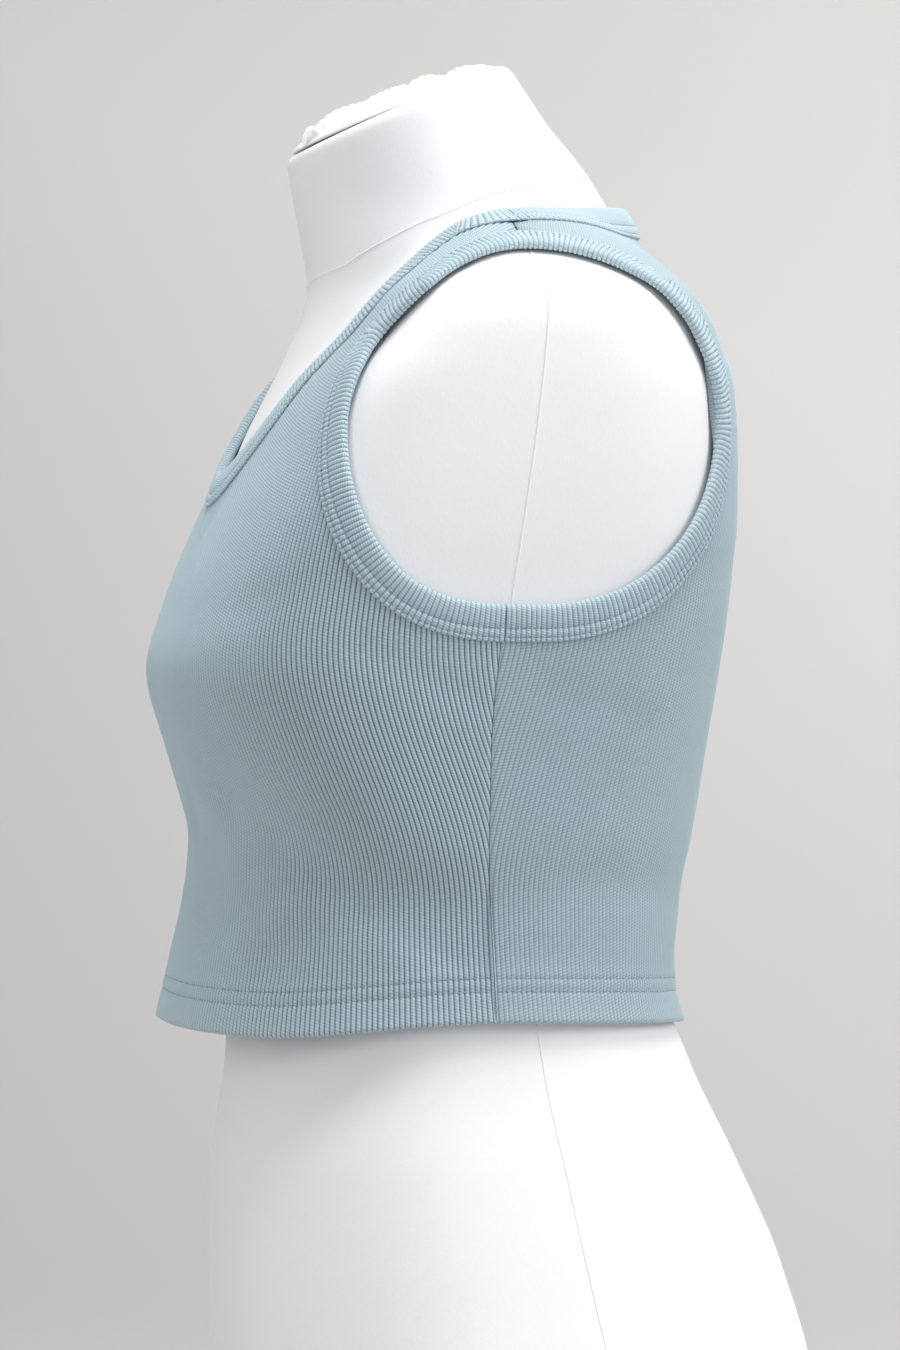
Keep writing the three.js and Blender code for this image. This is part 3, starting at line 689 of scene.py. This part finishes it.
def armhole_path(hand):
    turn = np.linspace(0, 2 * math.pi, 2400)
    low = np.full(len(turn), 0.0)
    radius = armhole_curve(np.degrees(turn))
    y = ARMHOLE_Y - radius * np.sin(turn)
    z = ARMHOLE_Z + radius * np.cos(turn)
    high = np.full(len(turn), math.pi)
    for _ in range(36):
        angle = (low + high) / 2
        short = surface(angle, z, True)[..., 1] < y
        low, high = np.where(short, angle, low), np.where(short, high, angle)
    angle = (low + high) / 2
    under = np.argmin(np.abs(angle - QUARTER) + (z > ARMHOLE_Z) * 9)
    order = np.roll(np.arange(len(turn) - 1), -under)
    order = np.append(order, order[0])
    centre = np.array((PLATE_REACH * hand, ARMHOLE_Y, ARMHOLE_Z))

    def middle(points):
        return np.broadcast_to(centre, points.shape)

    return EdgePath(hand * angle[order], z[order], BINDING_RIB, middle)


front_panel, front_map = panel("Front_panel_knit", True)
back_panel, back_map = panel("Back_panel_knit", False)
neck_edge = neck_path()
left_edge = armhole_path(1)
right_edge = armhole_path(-1)
neck_binding = binding("Neck_binding_knit", neck_edge, 3)
left_binding = binding("Left_armhole_binding_knit", left_edge, 5)
right_binding = binding("Right_armhole_binding_knit", right_edge, 8)


# Dress form

FORM_AROUND = 240
FORM_ROWS = 170


def neck_top(angle):
    """Height of the neck's cut top above each angle."""
    height = np.full(np.shape(angle), float(FORM_TOP))
    for _ in range(12):
        height = FORM_TOP + NECK_SLOPE * (surface(angle, height, False)[..., 1] - NECK_AXIS)
    return height


def dress_form(name):
    """The covered body: rows from the flat base to the slanting top of the neck."""
    angle = np.linspace(0, 2 * math.pi, FORM_AROUND, endpoint=False)
    top = neck_top(angle)
    rounding = ((4.5, 0), (3, 0.35), (1.6, 1.1), (0.7, 2.1), (0.15, 3.4))
    rows = []
    for i in range(FORM_ROWS + 1):
        share = i / FORM_ROWS
        rows.append(surface(angle, share * (top - rounding[0][0]), False))
    axis = np.stack([0 * angle, 0 * angle + NECK_AXIS, 0 * angle + FORM_TOP], -1)
    for below, inset in rounding[1:]:
        ring = surface(angle, top - below, False)
        inward = axis - ring
        inward[:, 2] = 0
        rows.append(ring + unit(inward) * inset)
    rim = rows[-1]
    for share in (0.8, 0.5, 0.2):
        rows.append(axis + (rim - axis) * share)
    points = np.concatenate(rows)
    index = np.arange(len(points)).reshape(len(rows), FORM_AROUND)
    index = np.hstack([index, index[:, :1]])
    triangles = grid_triangles(index.T)[:, ::-1]
    centre_top, centre_base = len(points), len(points) + 1
    points = np.vstack([points, [[0, NECK_AXIS, FORM_TOP], [0, 10, 0]]])
    ring_top, ring_base = index[-1], index[0]
    for k in range(FORM_AROUND):
        fan = [
            (ring_top[k], ring_top[k + 1], centre_top),
            (ring_base[k + 1], ring_base[k], centre_base),
        ]
        triangles = np.vstack([triangles, fan])
    piece = make_mesh(name, points, triangles)
    face_outwards(piece)
    return piece


form = dress_form("Dress_form_cover")


# Threads, seams of the form's cover and the gathered jersey on its neck

STITCH_SIDES = 5


def capsules(name, centres, along, upward, length, radius):
    """Many short threads in one mesh, each a thin rod with tapered ends, half sunk."""
    across = unit(np.cross(along, upward))
    rings = ((-0.5, 0.35), (-0.3, 1), (0.3, 1), (0.5, 0.35))
    turns = np.linspace(0, 2 * math.pi, STITCH_SIDES, endpoint=False)
    points = []
    for place, wide in rings:
        for turn in turns:
            offset = across * (math.cos(turn) * wide * radius)
            offset = offset + upward * (math.sin(turn) * wide * radius)
            points.append(centres + along * (place * length) + offset)
    points = np.stack(points, 1)
    one = np.arange(len(rings) * STITCH_SIDES).reshape(len(rings), STITCH_SIDES)
    closed = np.hstack([one, one[:, :1]])
    sides = grid_triangles(closed)
    start = [(0, k + 1, k) for k in range(1, STITCH_SIDES - 1)]
    last = one[-1, 0]
    end = [(last, last + k, last + k + 1) for k in range(1, STITCH_SIDES - 1)]
    shape = np.concatenate([sides, start, end])
    starts = np.arange(len(centres))[:, None, None] * points.shape[1]
    triangles = (starts + shape[None]).reshape(-1, 3)
    piece = make_mesh(name, points.reshape(-1, 3), triangles)
    face_outwards(piece)
    return piece


def tube(name, path, upward, radius, sides=6):
    """A thin closed tube along a path, such as a piped seam."""
    along = unit(np.gradient(path, axis=0))
    across = unit(np.cross(along, upward))
    over = unit(np.cross(across, along))
    turns = np.linspace(0, 2 * math.pi, sides, endpoint=False)
    radius = np.reshape(radius, (-1, 1))
    rings = [
        path + across * (math.cos(t) * radius) + over * (math.sin(t) * radius) for t in turns
    ]
    points = np.stack(rings, 1)
    index = np.arange(points.shape[0] * sides).reshape(-1, sides)
    closed = np.hstack([index, index[:, :1]])
    ends = []
    for ring in (index[0], index[-1]):
        ends += [(ring[0], ring[k], ring[k + 1]) for k in range(1, sides - 1)]
    piece = make_mesh(name, points.reshape(-1, 3), np.vstack([grid_triangles(closed), ends]))
    face_outwards(piece)
    return piece


def binding_stitches(name, path):
    """Two rows of coverstitch threads near the outer edge of a binding."""
    step = round(1.3 * RIB_STEPS)
    chosen = np.arange(RIB_STEPS, len(path.stations) - RIB_STEPS, step)
    centres, along, upward = [], [], []
    for distance in BINDING_STITCHES:
        centres.append(path.at(distance, np.full(len(chosen), 0.92), chosen))
        near = path.at(distance, 0.0, chosen + 1) - path.at(distance, 0.0, chosen - 1)
        along.append(unit(near))
        upward.append(path.normal(distance)[chosen])
    return capsules(
        name, np.concatenate(centres), np.concatenate(along), np.concatenate(upward), 2.1, 0.34
    )


def hem_stitches(name):
    """Two rows of threads round the hem."""
    centres, along, upward = [], [], []
    for row in HEM_ROWS:
        fine = np.linspace(0, 2 * math.pi, 3000)
        height = hem_curve(turn_from_front(fine)) + row
        run = np.linalg.norm(np.diff(surface(fine, height, True), axis=0), axis=-1)
        places = np.concatenate([[0], np.cumsum(run)])
        angle = np.interp(np.arange(1.4, places[-1], 2.8), places, fine)
        height = hem_curve(turn_from_front(angle)) + row
        normals = normal_at(angle, height, True)
        centres.append(surface(angle, height, True) - 0.1 * normals)
        along.append(unit(slopes_at(angle, height, True)[0]))
        upward.append(normals)
    return capsules(
        name, np.concatenate(centres), np.concatenate(along), np.concatenate(upward), 2.3, 0.34
    )


neck_stitches = binding_stitches("Neck_binding_stitches", neck_edge)
left_stitches = binding_stitches("Left_armhole_stitches", left_edge)
right_stitches = binding_stitches("Right_armhole_stitches", right_edge)
hem_threads = hem_stitches("Hem_stitches")

# Seams of the form's white cover, as angle in degrees and height.
NECK_BASE_SEAM = (
    (0, 571), (30, 578), (60, 594), (90, 606), (120, 612), (150, 617), (180, 621),
)
PLATE_SEAM = ((91, 585), (91, 410))
SIDE_SEAM = ((98, 285), (99, 200), (101, 130), (104, 50), (104, 4))


def cover_seam(name, seam, hand, radius=0.55):
    """A fine raised seam lying on the form."""
    rows = np.array(seam, float)
    share = np.arange(len(rows))
    fine = np.linspace(0, len(rows) - 1, 160)
    angle = np.radians(curve_through(share, rows[:, 0])(fine)) * hand
    height = np.interp(fine, share, rows[:, 1])
    path = surface(angle, height, False)
    normals = normal_at(angle, height, False)
    return tube(name, path - 0.15 * normals, normals, radius)


cover_seams = []
for hand, label in ((1, "Left"), (-1, "Right")):
    cover_seams.append(cover_seam(label + "_neck_base_seam", NECK_BASE_SEAM, hand))
    cover_seams.append(cover_seam(label + "_plate_seam", PLATE_SEAM, hand))
    cover_seams.append(cover_seam(label + "_side_seam", SIDE_SEAM, hand))


def neck_gather(name):
    """Loosely gathered jersey on the neck's top: lobes round a rim and a twisted knot."""
    around, rings = 144, 44
    up = np.array((0.0, -NECK_SLOPE, 1.0))
    up /= np.linalg.norm(up)
    angle = np.linspace(0, 2 * math.pi, around, endpoint=False)
    rim = surface(angle, neck_top(angle), False)
    middle = np.array((0.0, NECK_AXIS, float(FORM_TOP)))
    rng = np.random.default_rng(12)
    phase = rng.random(4) * 2 * math.pi
    points = []
    for i in range(rings + 1):
        share = 1 - i / rings
        twist = 1.5 * (1 - share) + 0.25 * np.sin(2 * angle + phase[0])
        fold = np.cos(9 * angle + 4.5 * twist + phase[1])
        fine = np.cos(17 * angle - 5 * twist + phase[2]) + np.cos(26 * angle + 7 * share)
        dome = 5.2 * np.clip(1 - share**2.4, 0, 1) ** 0.6
        ridge = 1.5 * np.abs(fold) ** 0.7 * np.sign(fold) + 0.45 * fine
        amount = smoothstep(1 - share, 0.02, 0.18) * (0.35 + 0.65 * share)
        height = np.maximum(dome + ridge * amount, 0.15 + 0.5 * (1 - share))
        ring = middle + (rim - middle) * (0.935 * share)
        points.append(ring + up * (height[:, None] + 0.25))
    points.append(middle + (rim - middle) * 0.935 - up * 0.3)
    count = len(points)
    index = np.arange(count * around).reshape(count, around)
    order = np.vstack([index[-1:], index[:-1]])
    closed = np.hstack([order, order[:, :1]])
    stack = np.concatenate(points)
    centre = len(stack)
    stack = np.vstack([stack, middle - up * 0.3])
    fan = [(index[-1, (k + 1) % around], index[-1, k], centre) for k in range(around)]
    piece = make_mesh(name, stack, np.vstack([grid_triangles(closed), fan]))
    face_outwards(piece)
    return piece


gather = neck_gather("Form_neck_gather")


def twist_strand(name, turned, seed):
    """One strand of the jersey's loose end, twisted with the other along the neck's top."""
    y = np.linspace(-66, 17, 170)
    share = (y - y[0]) / (y[-1] - y[0])
    up = unit(np.array((0.0, -NECK_SLOPE, 1.0)))
    aside = np.array((1.0, 0.0, 0.0))
    plane = FORM_TOP + NECK_SLOPE * (y - NECK_AXIS)
    middle = np.stack([13 + 4 * np.sin(4.2 * share + 0.4), y, plane], -1)
    lift = 3.4 + 1.7 * bell(share - 0.34, 0.13) + 1.6 * bell(share - 0.6, 0.1)
    lift = lift - 1.6 * smoothstep(share, 0.7, 0.95)
    turn = 2 * math.pi * (y / (36 - 8 * bell(share - 0.58, 0.2))) + turned
    wide = 2.7 - 0.7 * bell(share - 0.6, 0.08)
    swell = unevenness(y, seed, 0.35)
    ends = np.clip(smoothstep(share, 0, 0.1) * (1 - smoothstep(share, 0.9, 1)), 0.08, 1)
    centre = middle + aside * (wide * np.cos(turn) * 1.25)[:, None]
    centre = centre + up * (ends * (lift + wide * np.sin(turn) * 0.75))[:, None]
    radius = (3.1 + swell + 0.25 * np.sin(y * 1.9 + turned)) * ends
    return tube(name, centre, np.broadcast_to(up, centre.shape), radius, 18)


twists = [
    twist_strand("Neck_twist_one", 0.5, 21),
    twist_strand("Neck_twist_two", 0.5 + math.pi, 22),
]


# Materials

def new_material(name):
    material = bpy.data.materials.new(name)
    material.use_nodes = True
    nodes, links = material.node_tree.nodes, material.node_tree.links
    shader = nodes["Principled BSDF"]
    return material, nodes, links, shader


def math_node(nodes, links, operation, first, second=None, third=None):
    node = nodes.new("ShaderNodeMath")
    node.operation = operation
    for socket, value in zip(node.inputs, (first, second, third)):
        if value is None:
            continue
        if isinstance(value, (int, float)):
            socket.default_value = value
        else:
            links.new(value, socket)
    return node.outputs[0]


def mix_colour(nodes, links, share, first, second):
    node = nodes.new("ShaderNodeMix")
    node.data_type = "RGBA"
    for socket, value in ((node.inputs[0], share), (node.inputs[6], first), (node.inputs[7], second)):
        if hasattr(value, "links"):
            links.new(value, socket)
        else:
            socket.default_value = value
    return node.outputs[2]


def noise(nodes, links, place, scale, detail=2.0):
    node = nodes.new("ShaderNodeTexNoise")
    node.inputs["Scale"].default_value = scale
    node.inputs["Detail"].default_value = detail
    links.new(place, node.inputs["Vector"])
    return node.outputs["Fac"]


def rib_material(name, course, tint, groove_shade, stitch_dark):
    """Dusty teal rib knit: painted shade that darkens the grooves between the ribs, small stitches
    across them and soft uneven dye."""
    material, nodes, links, shader = new_material(name)
    layer = nodes.new("ShaderNodeAttribute")
    layer.attribute_name = "knit"
    split = nodes.new("ShaderNodeSeparateXYZ")
    links.new(layer.outputs["Vector"], split.inputs[0])
    across, along = split.outputs[0], split.outputs[1]
    place = nodes.new("ShaderNodeTexCoord").outputs["Object"]
    calc = lambda *given: math_node(nodes, links, *given)

    phase = calc("FRACT", across)
    from_groove = calc("ABSOLUTE", calc("SUBTRACT", phase, 0.5))
    groove = calc("SMOOTH_MIN", calc("MULTIPLY", calc("SUBTRACT", from_groove, 0.27), 4.4), 1.0, 0.1)
    groove = calc("MAXIMUM", groove, 0.0)
    wave = calc("MULTIPLY", along, 2 * math.pi / course)
    wobble = calc("MULTIPLY", noise(nodes, links, place, 900, 1.0), 1.4)
    stitch = calc("SINE", calc("ADD", calc("ADD", wave, wobble), calc("MULTIPLY", across, math.pi)))
    stitch = calc("MULTIPLY_ADD", stitch, 0.5, 0.5)
    blotch = noise(nodes, links, place, 22, 4.0)
    fleck = noise(nodes, links, place, 1500, 3.0)

    light = (0.490 * tint, 0.622 * tint, 0.684 * tint, 1)
    mid = tuple(channel * (1 - stitch_dark) for channel in light[:3]) + (1,)
    # Colour of the painted shade in the grooves between the ribs.
    dark = (0.055 * tint, 0.090 * tint, 0.110 * tint, 1)
    body = mix_colour(nodes, links, stitch, mid, light)
    share = calc("MULTIPLY", calc("SUBTRACT", blotch, 0.35), 0.9)
    body = mix_colour(nodes, links, share, body, mid)
    # Painted shade: the grooves between the ribs are mixed towards the shade colour above, by the
    # fourth argument's amount.
    body = mix_colour(nodes, links, calc("MULTIPLY", groove, groove_shade), body, dark)
    body = mix_colour(nodes, links, calc("MULTIPLY", fleck, 0.22), body, light)
    links.new(body, shader.inputs["Base Color"])

    height = calc("MULTIPLY", stitch, calc("SUBTRACT", 1.0, calc("MULTIPLY", groove, 0.8)))
    height = calc("ADD", height, calc("MULTIPLY", fleck, 0.5))
    bump = nodes.new("ShaderNodeBump")
    bump.inputs["Strength"].default_value = 0.55
    bump.inputs["Distance"].default_value = 0.00022
    links.new(height, bump.inputs["Height"])
    links.new(bump.outputs["Normal"], shader.inputs["Normal"])
    rough = calc("MULTIPLY_ADD", fleck, 0.16, 0.82)
    links.new(rough, shader.inputs["Roughness"])
    shader.inputs["Sheen Weight"].default_value = 0.55
    shader.inputs["Sheen Roughness"].default_value = 0.45
    shader.inputs["Sheen Tint"].default_value = (0.86, 0.94, 1.0, 1)
    shader.inputs["Specular IOR Level"].default_value = 0.12
    return material


def jersey_material(name):
    """White stretch jersey with fine upright wales and a few faint specks."""
    material, nodes, links, shader = new_material(name)
    place = nodes.new("ShaderNodeTexCoord").outputs["Object"]
    calc = lambda *given: math_node(nodes, links, *given)
    mapping = nodes.new("ShaderNodeMapping")
    mapping.inputs["Scale"].default_value = (1.0, 1.0, 0.35)
    links.new(place, mapping.inputs["Vector"])
    grain = noise(nodes, links, mapping.outputs[0], 1700, 3.0)
    cloud = noise(nodes, links, place, 9, 3.0)
    cross = noise(nodes, links, place, 420, 2.0)
    white = (0.93, 0.93, 0.945, 1)
    grey = (0.80, 0.80, 0.83, 1)
    share = calc("ADD", calc("MULTIPLY", grain, 0.30), calc("MULTIPLY", cloud, 0.18))
    links.new(mix_colour(nodes, links, share, white, grey), shader.inputs["Base Color"])
    height = calc("ADD", grain, calc("MULTIPLY", cross, 0.6))
    bump = nodes.new("ShaderNodeBump")
    bump.inputs["Strength"].default_value = 0.35
    bump.inputs["Distance"].default_value = 0.0002
    links.new(height, bump.inputs["Height"])
    links.new(bump.outputs["Normal"], shader.inputs["Normal"])
    links.new(calc("MULTIPLY_ADD", grain, 0.15, 0.72), shader.inputs["Roughness"])
    shader.inputs["Sheen Weight"].default_value = 0.25
    shader.inputs["Sheen Roughness"].default_value = 0.5
    shader.inputs["Specular IOR Level"].default_value = 0.2
    return material


def thread_material(name, colour):
    """Sewing thread with a fine twist."""
    material, nodes, links, shader = new_material(name)
    place = nodes.new("ShaderNodeTexCoord").outputs["Object"]
    fleck = noise(nodes, links, place, 2600, 2.0)
    lit = tuple(min(c * 1.35, 1) for c in colour[:3]) + (1,)
    links.new(mix_colour(nodes, links, fleck, colour, lit), shader.inputs["Base Color"])
    shader.inputs["Roughness"].default_value = 0.6
    return material


def floor_material(name):
    """Plain pale paper with painted shade: greyer below and towards the object's front."""
    material, nodes, links, shader = new_material(name)
    place = nodes.new("ShaderNodeTexCoord").outputs["Object"]
    split = nodes.new("ShaderNodeSeparateXYZ")
    links.new(place, split.inputs[0])
    calc = lambda *given: math_node(nodes, links, *given)
    # Painted shade: the paper darkens towards the floor and towards the object's front.
    share = calc("MULTIPLY_ADD", split.outputs[2], 0.75, 0.3)
    share = calc("MULTIPLY_ADD", split.outputs[1], 0.3, share)
    share = calc("MAXIMUM", calc("MINIMUM", share, 1.0), 0.0)
    cloud = noise(nodes, links, place, 1.5, 2.0)
    pale = mix_colour(nodes, links, cloud, (0.67, 0.66, 0.65, 1), (0.70, 0.69, 0.68, 1))
    paper = mix_colour(nodes, links, share, (0.40, 0.395, 0.39, 1), pale)
    links.new(paper, shader.inputs["Base Color"])
    shader.inputs["Roughness"].default_value = 0.95
    shader.inputs["Specular IOR Level"].default_value = 0.1
    return material


# Painted shade: the front's grooves are darkened more than the back's and the bindings', standing in
# for the raking light on the front.
rib_front = rib_material("Rib_knit_front", 1.25, 1.0, 0.86, 0.2)
rib_back = rib_material("Rib_knit_back", 1.25, 0.97, 0.42, 0.3)
rib_binding = rib_material("Rib_binding", 1.0, 1.08, 0.62, 0.2)
jersey = jersey_material("White_jersey")
teal_thread = thread_material("Teal_thread", (0.20, 0.29, 0.32, 1))
seam_thread = jersey_material("White_seam")
paper = floor_material("Paper")

for piece, material in (
    (front_panel, rib_front), (back_panel, rib_back), (neck_binding, rib_binding),
    (left_binding, rib_binding), (right_binding, rib_binding), (form, jersey),
    (gather, jersey), (neck_stitches, teal_thread), (left_stitches, teal_thread),
    (right_stitches, teal_thread), (hem_threads, teal_thread),
    *((seam, seam_thread) for seam in cover_seams),
    *((twist, jersey) for twist in twists),
):
    piece.data.materials.append(material)

for piece, colour in (
    (neck_stitches, "rib_binding"), (left_stitches, "rib_binding"),
    (right_stitches, "rib_binding"), (hem_threads, "rib_knit"),
    *((seam, "form_jersey") for seam in cover_seams),
    *((twist, "form_jersey") for twist in twists),
):
    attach(piece, "root")

for piece, node, colour in (
    (front_panel, "front_panel", "rib_knit"),
    (back_panel, "back_panel", "rib_knit"),
    (neck_binding, "neck_binding", "rib_binding"),
    (left_binding, "armhole_binding_left", "rib_binding"),
    (right_binding, "armhole_binding_right", "rib_binding"),
    (form, "dress_form", "form_jersey"),
    (gather, "form_neck_gather", "form_jersey"),
):
    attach(piece, "root")
    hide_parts(node)


# Camera, floor and light

camera_data = bpy.data.cameras.new("Camera")
camera_data.sensor_width = 36
camera_data.lens = 139.6
camera_data.clip_end = 50
camera = bpy.data.objects.new("Camera", camera_data)
bpy.context.collection.objects.link(camera)
VIEW_TURN = math.radians(81)
VIEW_DISTANCE = 2.2
camera.location = (
    VIEW_DISTANCE * math.sin(VIEW_TURN), -VIEW_DISTANCE * math.cos(VIEW_TURN), 0.4095
)
camera.rotation_mode = "QUATERNION"
back_to_camera = Vector((math.sin(VIEW_TURN), -math.cos(VIEW_TURN), 0))
camera.rotation_quaternion = (-back_to_camera).to_track_quat("-Z", "Y")
bpy.context.scene.camera = camera


def area_light(name, place, target, size, power, colour=(1, 1, 1)):
    light = bpy.data.lights.new(name, "AREA")
    light.shape = "RECTANGLE"
    light.size, light.size_y = size
    light.energy = power
    light.color = colour
    lamp = bpy.data.objects.new(name, light)
    bpy.context.collection.objects.link(lamp)
    lamp.location = place
    lamp.rotation_mode = "QUATERNION"
    lamp.rotation_quaternion = (Vector(target) - Vector(place)).to_track_quat("-Z", "Y")
    return lamp


area_light("Key", (1.2, 1.9, 1.7), (0, 0, 0.42), (1.2, 1.4), 29)
area_light("Top", (0.5, 0.2, 2.3), (0, 0, 0.5), (1.2, 1.2), 34)
area_light("Fill", (2.3, -1.9, 1.3), (0, 0, 0.45), (1.4, 1.4), 17)
area_light("Back_light", (-1.8, 1.0, 1.6), (0, 0, 0.42), (1.6, 1.6), 14)
area_light("Front_light", (-0.9, -2.2, 1.2), (0, 0, 0.42), (1.6, 1.6), 12)

world = bpy.data.worlds.new("World")
bpy.context.scene.world = world
world.use_nodes = True
world.node_tree.nodes["Background"].inputs["Color"].default_value = (1, 1, 1, 1)
world.node_tree.nodes["Background"].inputs["Strength"].default_value = 0.36
bpy.context.scene.view_settings.view_transform = "Standard"


def backdrop():
    """A floor of 8 m that curves up far behind the object on the side away from the camera."""
    rows = [(4.0, 0.0), (-1.2, 0.0)]
    for i in range(1, 13):
        turn = i / 12 * math.pi / 2
        rows.append((-1.2 - 1.2 * math.sin(turn), 1.2 - 1.2 * math.cos(turn)))
    rows.append((-2.4, 4.5))
    points, triangles = [], []
    for away, up in rows:
        for aside in (-4.5, 4.5):
            x = away * math.sin(VIEW_TURN) + aside * math.cos(VIEW_TURN)
            y = -away * math.cos(VIEW_TURN) + aside * math.sin(VIEW_TURN)
            points.append((x / MM, y / MM, up / MM))
    for i in range(len(rows) - 1):
        a = 2 * i
        triangles += [(a, a + 1, a + 3), (a, a + 3, a + 2)]
    return make_mesh("Floor", points, triangles)


floor = backdrop()
floor.data.materials.append(paper)
